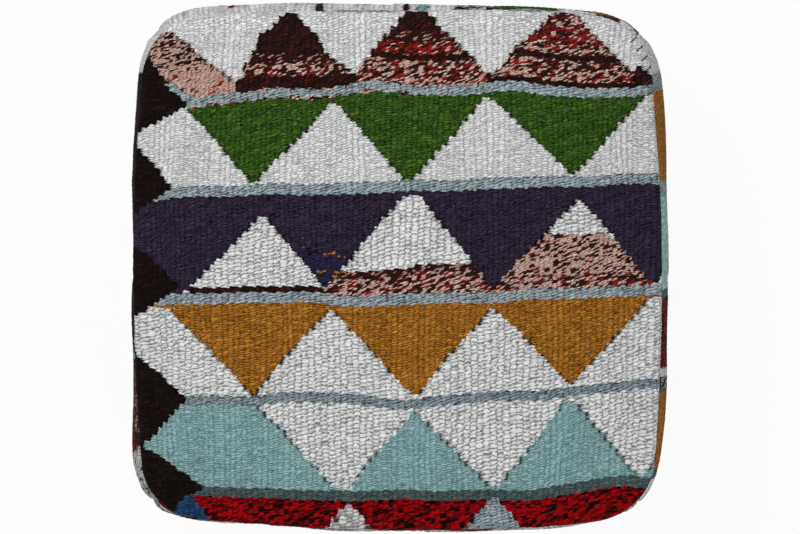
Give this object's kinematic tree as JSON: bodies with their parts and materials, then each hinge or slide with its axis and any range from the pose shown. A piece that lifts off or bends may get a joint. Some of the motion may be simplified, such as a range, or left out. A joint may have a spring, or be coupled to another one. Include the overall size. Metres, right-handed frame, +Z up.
{
  "type": "floor pouf",
  "caption": "Square floor pouf with rounded corners: a flat-woven wool kilim cover of stepped triangle rows over a filled bag, closed by a zip low on the back.",
  "frame": {"origin": "middle of the base, on the floor", "axes": "+Z up, +X to the right side, +Y to the back, where the zip is; the picture looks down with +Y towards its top edge"},
  "size_m": [0.56, 0.55, 0.3001],
  "materials": {
    "kilim_wool": "weft-faced flat weave of thick wool and cotton yarn in white, green, navy, ochre, turquoise, grey-blue, red and dark brown",
    "seam_thread": "twisted dark sewing thread",
    "base_canvas": "dark plain-weave cotton canvas",
    "zip_tape": "black woven tape",
    "zip_metal": "aged brass, lightly worn on the edges",
    "calico": "unbleached cotton calico",
    "wadding": "white polyester fibre wadding",
    "foam": null
  },
  "bodies": {
    "pouf": {"kilim_top": "kilim_wool", "kilim_front": "kilim_wool", "kilim_right": "kilim_wool", "kilim_back": "kilim_wool", "kilim_left": "kilim_wool", "top_seam_thread": "seam_thread", "corner_seam_threads": "seam_thread", "base_seam_thread": "seam_thread", "base_cloth": "base_canvas", "zip_tape_upper": "zip_tape", "zip_tape_lower": "zip_tape", "zip_teeth_upper": "zip_metal", "zip_teeth_lower": "zip_metal", "zip_top_stops": "zip_metal", "zip_bottom_stop": "zip_metal", "inner_bag_top": "calico", "inner_bag_band": "calico", "inner_bag_base": "calico", "wadding_top": "wadding", "wadding_band": "wadding", "foam_top_slab": "foam", "foam_core": "foam"},
    "zip_slider": {"zip_slider": "zip_metal"},
    "zip_pull": {"zip_pull": "zip_metal"}
  },
  "joints": [
    {"name": "zip_slide", "type": "slide", "parent": "pouf", "child": "zip_slider", "axis": [-1, 0, 0], "range_m": [0, 0.33]},
    {"name": "pull_swing", "type": "hinge", "parent": "zip_slider", "child": "zip_pull", "pos_m": [0.1652, 0.25455, 0.0177], "axis": [0, 0, -1], "range_deg": [0, 175]}
  ]
}
